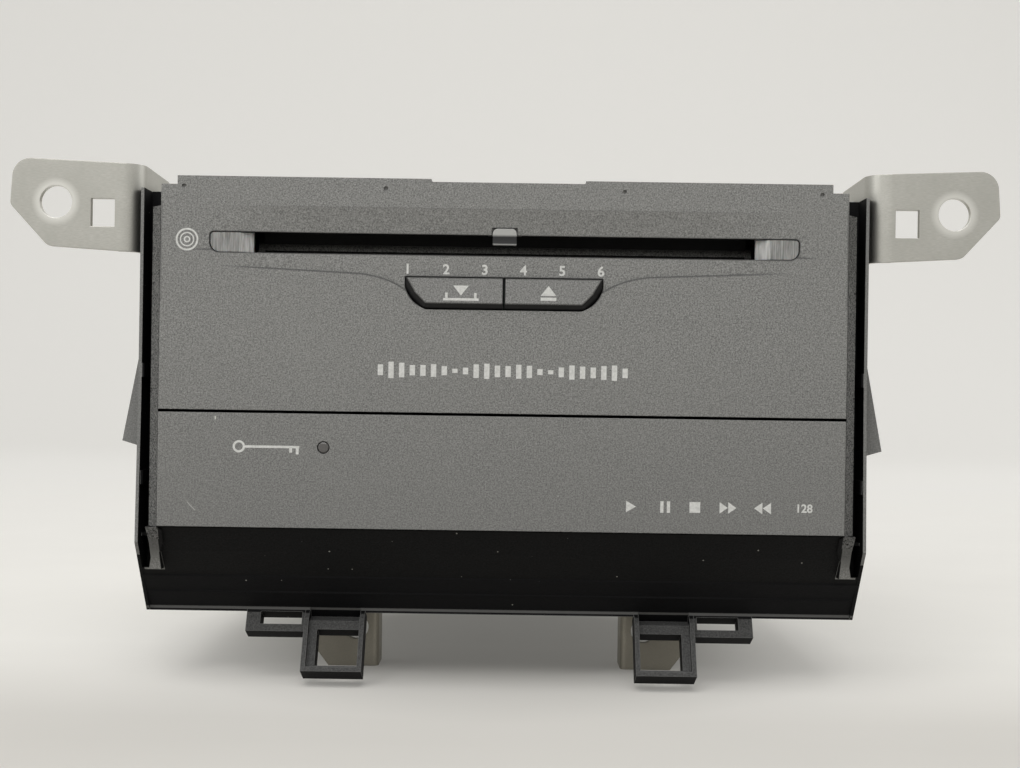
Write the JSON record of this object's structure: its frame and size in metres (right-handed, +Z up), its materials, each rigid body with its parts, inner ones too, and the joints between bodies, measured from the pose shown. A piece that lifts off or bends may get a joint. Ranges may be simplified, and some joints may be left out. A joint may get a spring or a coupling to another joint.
{
  "type": "car cd changer",
  "caption": "In-dash car disc changer: fascia with a disc slot, two buttons, hook loops and mounting ears on a steel case with a tray-stack changer inside.",
  "frame": {"origin": "midway between the two upper mounting holes, on the rear face of the ears", "axes": "-Y out of the front face towards the driver, +Z up, +X to the viewer's right"},
  "size_m": [0.2446, 0.2006, 0.1306],
  "materials": {
    "painted_face": "fine-textured satin paint",
    "black_moulding": "raw moulded, fine spark texture",
    "clear_grey_plastic": "frosted translucent",
    "lamp_lens": "smoked",
    "black_felt": "napped",
    "brushed_steel": "brushed",
    "dull_steel": "dull rolled",
    "plated_sheet": "zinc plated, spangled",
    "bright_steel": "ground",
    "screw_steel": "zinc plated",
    "sink_aluminium": "extruded, satin",
    "arm_aluminium": "die cast",
    "motor_can": "nickel plated",
    "board_green": "solder resist",
    "part_black": "moulded",
    "header_white": "moulded nylon",
    "jack_nickel": "nickel plated",
    "natural_nylon": "moulded acetal",
    "roller_rubber": "ground rubber",
    "lens_glass": "polished"
  },
  "bodies": {
    "case": {"antenna_socket": "jack_nickel", "arm_pivot_post": "bright_steel", "aux_connector": "header_white", "board_capacitors": "part_black", "board_chips": "part_black", "cam_guides": "natural_nylon", "case_screws": "screw_steel", "disc_guide": "natural_nylon", "frame_screws": "screw_steel", "front_boards": "board_green", "front_frame": "black_moulding", "heat_sink": "sink_aluminium", "leg_bracket_left": "dull_steel", "leg_bracket_right": "dull_steel", "lift_bearings": "plated_sheet", "lift_motor": "motor_can", "loading_motor": "motor_can", "lower_face_panel": "painted_face", "main_board": "board_green", "main_case": "plated_sheet", "main_connector": "header_white", "mechanism_deck": "plated_sheet", "rear_panel": "plated_sheet", "roller_plate_left": "plated_sheet", "roller_plate_right": "plated_sheet", "side_bracket_left": "brushed_steel", "side_bracket_right": "brushed_steel", "slot_felts": "black_felt", "slot_lamp_lens": "clear_grey_plastic", "slot_light_guides": "clear_grey_plastic", "stack_guide_posts": "bright_steel", "tact_switches": "part_black", "top_cover": "plated_sheet", "tuner_can": "plated_sheet", "upper_face_panel": "painted_face", "warning_lamp": "lamp_lens"},
    "load_button": {"load_button": "painted_face", "load_switch_plunger": "part_black"},
    "eject_button": {"eject_button": "painted_face", "eject_switch_plunger": "part_black"},
    "dust_door": {"dust_door": "part_black"},
    "loading_roller": {"roller_shaft": "bright_steel", "roller_sleeve": "roller_rubber", "roller_gear": "natural_nylon"},
    "idler_gear": {"idler_gear": "natural_nylon"},
    "loading_pinion": {"loading_pinion": "natural_nylon"},
    "tray_stack": {"disc_trays": "natural_nylon", "tray_carriers": "natural_nylon"},
    "lift_cam_right": {"lift_cam_right": "plated_sheet"},
    "lift_cam_left": {"lift_cam_left": "plated_sheet"},
    "lift_shaft": {"lift_shaft": "bright_steel"},
    "lift_pinion": {"lift_pinion": "natural_nylon"},
    "play_arm": {"swing_arm": "arm_aluminium", "pickup_guide_rods": "bright_steel", "feed_motor": "motor_can", "spindle_motor": "motor_can"},
    "turntable": {"turntable": "part_black"},
    "pickup": {"pickup_sled": "part_black", "pickup_lens": "lens_glass"},
    "feed_screw": {"feed_screw": "bright_steel"}
  },
  "joints": [
    {"name": "load_press", "type": "slide", "parent": "case", "child": "load_button", "axis": [0, 1, 0], "range_m": [0, 0.0008], "stiffness_N_per_m": 800},
    {"name": "eject_press", "type": "slide", "parent": "case", "child": "eject_button", "axis": [0, 1, 0], "range_m": [0, 0.0008], "stiffness_N_per_m": 800},
    {"name": "dust_door_swing", "type": "hinge", "parent": "case", "child": "dust_door", "pos_m": [0, 0.0096, -0.0052], "axis": [1, 0, 0], "range_deg": [0, 60], "stiffness_Nm_per_rad": 0.002},
    {"name": "roller_spin", "type": "hinge", "parent": "case", "child": "loading_roller", "pos_m": [0, 0.024, -0.0145], "axis": [1, 0, 0], "continuous": true},
    {"name": "idler_spin", "type": "hinge", "parent": "case", "child": "idler_gear", "pos_m": [0.072, 0.024, -0.0285], "axis": [1, 0, 0], "continuous": true},
    {"name": "loading_pinion_spin", "type": "hinge", "parent": "case", "child": "loading_pinion", "pos_m": [0.072, 0.024, -0.0395], "axis": [1, 0, 0], "continuous": true},
    {"name": "tray_lift", "type": "slide", "parent": "case", "child": "tray_stack", "axis": [0, 0, 1], "range_m": [0, 0.0115]},
    {"name": "cam_right_slide", "type": "slide", "parent": "case", "child": "lift_cam_right", "axis": [0, 1, 0], "range_m": [0, 0.0115]},
    {"name": "cam_left_slide", "type": "slide", "parent": "case", "child": "lift_cam_left", "axis": [0, 1, 0], "range_m": [0, 0.0115]},
    {"name": "lift_shaft_turn", "type": "hinge", "parent": "case", "child": "lift_shaft", "pos_m": [0, 0.154, -0.033], "axis": [1, 0, 0], "range_deg": [-110, 0]},
    {"name": "lift_pinion_turn", "type": "hinge", "parent": "case", "child": "lift_pinion", "pos_m": [-0.058, 0.141, -0.033], "axis": [1, 0, 0], "range_deg": [0, 367]},
    {"name": "arm_swing", "type": "hinge", "parent": "case", "child": "play_arm", "pos_m": [0.074, 0.14, -0.034], "axis": [0, 0, -1], "range_deg": [0, 58.7]},
    {"name": "turntable_spin", "type": "hinge", "parent": "play_arm", "child": "turntable", "pos_m": [0.074, 0.05339, -0.03], "axis": [0, 0, 1], "continuous": true},
    {"name": "pickup_travel", "type": "slide", "parent": "play_arm", "child": "pickup", "axis": [0, 1, 0], "range_m": [0, 0.035]},
    {"name": "feed_screw_turn", "type": "hinge", "parent": "play_arm", "child": "feed_screw", "pos_m": [0.074, 0.1, -0.0445], "axis": [0, 1, 0], "range_deg": [0, 2101]}
  ],
  "couplings": [
    {"joint": "idler_spin", "follows": "roller_spin", "ratio": -0.75},
    {"joint": "loading_pinion_spin", "follows": "roller_spin", "ratio": 2},
    {"joint": "cam_right_slide", "follows": "tray_lift", "ratio": 1},
    {"joint": "cam_left_slide", "follows": "tray_lift", "ratio": 1},
    {"joint": "lift_shaft_turn", "follows": "tray_lift", "rad_per_m": -166.67},
    {"joint": "lift_pinion_turn", "follows": "tray_lift", "rad_per_m": 555.56},
    {"joint": "feed_screw_turn", "follows": "pickup_travel", "rad_per_m": 1047.2}
  ]
}
